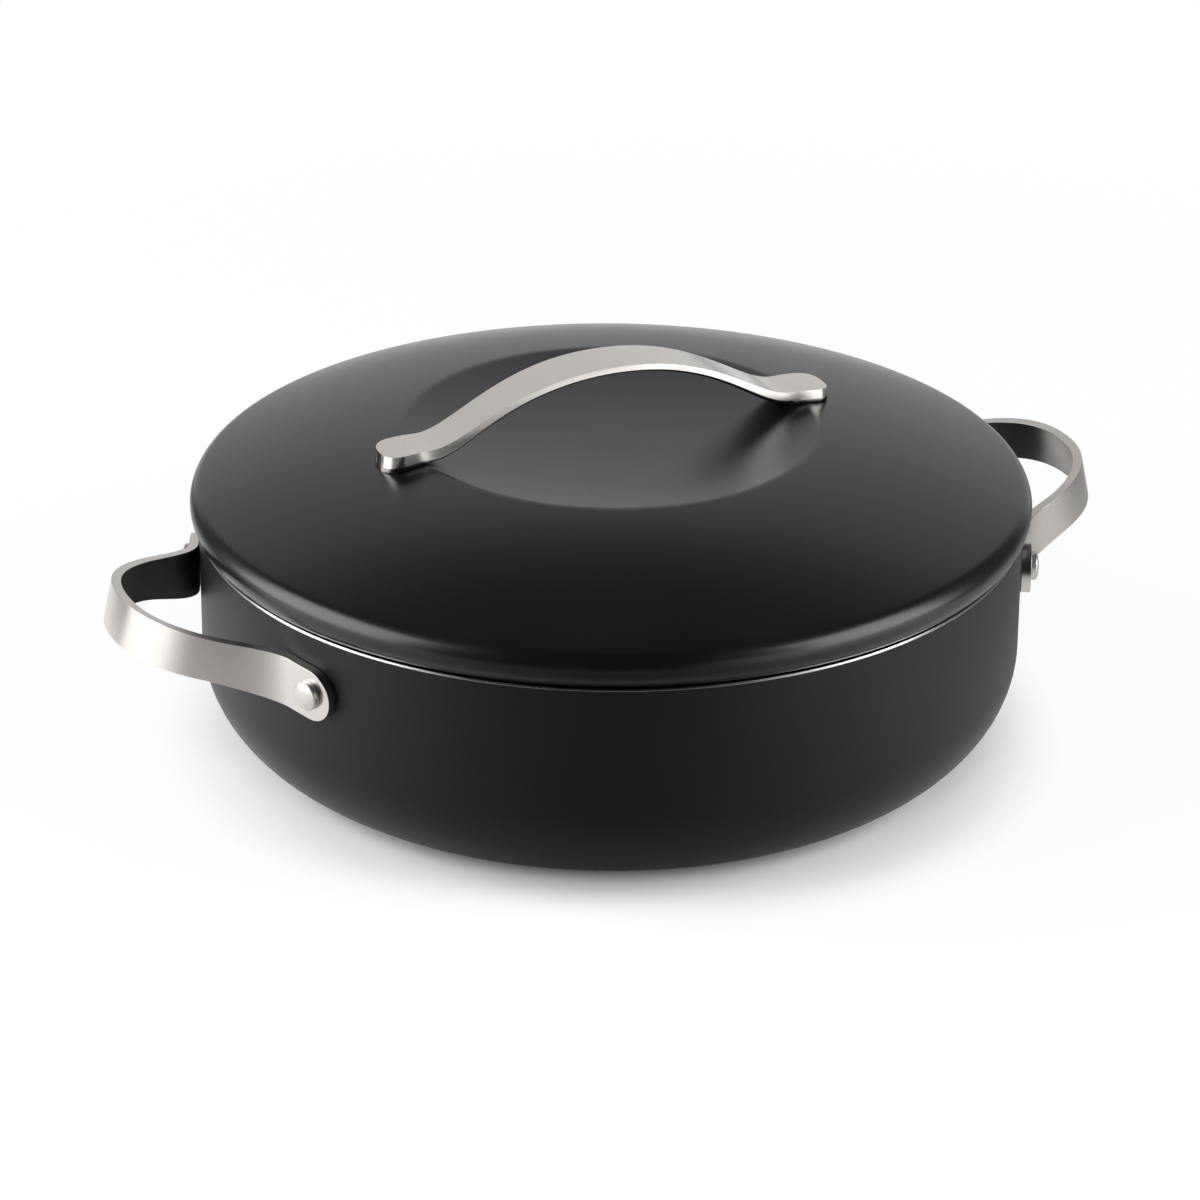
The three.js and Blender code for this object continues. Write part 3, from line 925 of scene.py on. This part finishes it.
# The studio behind the pan is a pale wall, and the room overhead and in front is dark. The camera
# sees it as white, and reflections see the wall and the room.
def paint_air():
    world = bpy.data.worlds.new("studio")
    bpy.context.scene.world = world
    world.use_nodes = True
    air = Nodes(world.node_tree)
    place = air.axes(air.node("ShaderNodeTexCoord", output="Generated"))
    z = place[2]
    camera_sees = air.node("ShaderNodeLightPath", output="Is Camera Ray")
    wall_behind = air.node("ShaderNodeValToRGB", {"stops": [
        (0.0, grey(0.75)), (0.15, grey(0.77)), (0.45, grey(0.74)), (0.57, grey(0.75)),
        (0.68, grey(0.56)), (0.75, grey(0.20)), (0.80, grey(0.08)), (1.0, grey(0.12))]}, {"Fac": z})
    behind = share_along(place, bearing(180)).rise(0.74, 0.84)
    front = share_along(place, bearing(2)).rise(0.64, 0.77)
    tones = air.blend(front, air.blend(behind, grey(0.10), wall_behind), grey(0.005))
    shader = air.nodes["Background"]
    air.links.new(air.blend(camera_sees, tones, grey(1.0)).socket, shader.inputs["Color"])


paint_air()


# The light is a wide soft box on each side of the pan, a pale card beside the right one, and a fill
# in front that only softens the shadow under the pan.
def soft_box(name, degrees_left, low, high, width, distance, radiance, mirrored=True):
    """An upright box that faces the middle, with its level bearing, lower and upper edge."""
    deselect_all()
    place = bearing(degrees_left) * distance + upright * (low + high) / 2
    bpy.ops.object.light_add(type="AREA", location=place)
    box = bpy.context.object
    box.name = name
    box.rotation_euler = (-bearing(degrees_left)).to_track_quat("-Z", "Y").to_euler()
    box.data.shape = "RECTANGLE"
    box.data.size = width
    box.data.size_y = high - low
    box.data.energy = radiance * math.pi * width * (high - low)
    box.visible_camera = False
    box.visible_glossy = mirrored


soft_box("left_box", 81, 0.12, 1.72, 1.63, 1.6, 5.5)
soft_box("right_box", -72.5, 0.12, 1.64, 1.20, 1.6, 5.3)
soft_box("right_card", -40, 0.0, 0.60, 0.68, 1.6, 1.05)
soft_box("front_fill", 0, 1.25, 2.6, 1.4, 2.6, 6.0, mirrored=False)


# The camera stands where the photograph's does, 25 degrees above the level of the pan.
camera_rise = math.radians(24.946)
camera_roll = math.radians(0.43)
camera_distance = 1.8
lens_share = 4890.75 / 1200
aim = right * -0.00375 + upright * 0.050356
deselect_all()
bpy.ops.object.camera_add()
camera = bpy.context.object
camera.name = "photo_camera"
back = upright * math.sin(camera_rise) - away * math.cos(camera_rise)
over = away * math.sin(camera_rise) + upright * math.cos(camera_rise)
turned_right = right * math.cos(camera_roll) + over * math.sin(camera_roll)
turned_over = over * math.cos(camera_roll) - right * math.sin(camera_roll)
place = aim + back * camera_distance
camera.matrix_world = Matrix((
    (turned_right.x, turned_over.x, back.x, place.x),
    (turned_right.y, turned_over.y, back.y, place.y),
    (turned_right.z, turned_over.z, back.z, place.z),
    (0, 0, 0, 1),
))
camera.data.sensor_fit = "HORIZONTAL"
camera.data.sensor_width = 36
camera.data.lens = camera.data.sensor_width * lens_share
camera.data.clip_end = 100
bpy.context.scene.camera = camera
bpy.context.scene.view_settings.view_transform = "Standard"
